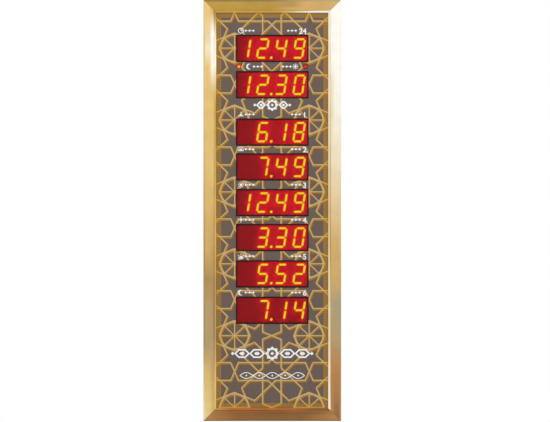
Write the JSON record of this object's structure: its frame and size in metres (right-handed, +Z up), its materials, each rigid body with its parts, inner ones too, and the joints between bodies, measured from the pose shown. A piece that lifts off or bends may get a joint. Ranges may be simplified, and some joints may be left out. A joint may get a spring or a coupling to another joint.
{
  "type": "wall clock with led displays",
  "caption": "Tall wall-hung clock: red seven-segment LED display windows one above another behind a lattice-printed panel, in a mitred gold aluminium frame.",
  "frame": {"origin": "centre of the back plane, which lies flat against the wall", "axes": "+Z up along the long side, +X to the right seen from the front, +Y into the wall; the displays face -Y"},
  "size_m": [0.3026, 0.036, 0.9262],
  "materials": {
    "gold_anodised": "brushed and gold anodised, satin",
    "plain_aluminium": "mill",
    "printed_panel": "satin printed sheet, grey-brown with a gold lattice",
    "black_cover": "fine texture",
    "zinc_steel": "zinc plated",
    "black_plastic": "moulded, satin",
    "red_acrylic": "clear red, polished",
    "display_face": "moulded, with raised translucent bars",
    "circuit_board": "solder mask",
    "lit_led": "lit",
    "grey_cable": "flat ribbon"
  },
  "bodies": {
    "case": {"rail_bottom": "gold_anodised", "rail_top": "gold_anodised", "rail_left": "gold_anodised", "rail_right": "gold_anodised", "corner_key_bottom_left": "plain_aluminium", "corner_key_bottom_right": "plain_aluminium", "corner_key_top_right": "plain_aluminium", "corner_key_top_left": "plain_aluminium", "front_panel": "printed_panel", "back_cover": "black_cover", "hanger_plate_left": "zinc_steel", "hanger_plate_right": "zinc_steel", "window_bezel_1": "black_plastic", "red_filter_1": "red_acrylic", "display_module_1": "display_face", "display_board_1": "circuit_board", "window_bezel_2": "black_plastic", "red_filter_2": "red_acrylic", "display_module_2": "display_face", "display_board_2": "circuit_board", "window_bezel_3": "black_plastic", "red_filter_3": "red_acrylic", "display_module_3": "display_face", "display_board_3": "circuit_board", "window_bezel_4": "black_plastic", "red_filter_4": "red_acrylic", "display_module_4": "display_face", "display_board_4": "circuit_board", "window_bezel_5": "black_plastic", "red_filter_5": "red_acrylic", "display_module_5": "display_face", "display_board_5": "circuit_board", "window_bezel_6": "black_plastic", "red_filter_6": "red_acrylic", "display_module_6": "display_face", "display_board_6": "circuit_board", "window_bezel_7": "black_plastic", "red_filter_7": "red_acrylic", "display_module_7": "display_face", "display_board_7": "circuit_board", "window_bezel_8": "black_plastic", "red_filter_8": "red_acrylic", "display_module_8": "display_face", "display_board_8": "circuit_board", "indicator_lens_left": "red_acrylic", "indicator_led_left": "lit_led", "indicator_lens_right": "red_acrylic", "indicator_led_right": "lit_led", "controller_board": "circuit_board", "coin_cell_holder": "black_plastic", "coin_cell": "zinc_steel", "ribbon_cable": "grey_cable", "speaker": "black_plastic", "button_board": "circuit_board", "power_inlet": "black_plastic"},
    "menu_button": {"menu_button": "black_plastic"},
    "up_button": {"up_button": "black_plastic"},
    "down_button": {"down_button": "black_plastic"},
    "sound_button": {"sound_button": "black_plastic"}
  },
  "joints": [
    {"name": "menu_press", "type": "slide", "parent": "case", "child": "menu_button", "axis": [0, 0, 1], "range_m": [0, 0.001], "stiffness_N_per_m": 300},
    {"name": "up_press", "type": "slide", "parent": "case", "child": "up_button", "axis": [0, 0, 1], "range_m": [0, 0.001], "stiffness_N_per_m": 300},
    {"name": "down_press", "type": "slide", "parent": "case", "child": "down_button", "axis": [0, 0, 1], "range_m": [0, 0.001], "stiffness_N_per_m": 300},
    {"name": "sound_press", "type": "slide", "parent": "case", "child": "sound_button", "axis": [0, 0, 1], "range_m": [0, 0.001], "stiffness_N_per_m": 300}
  ]
}
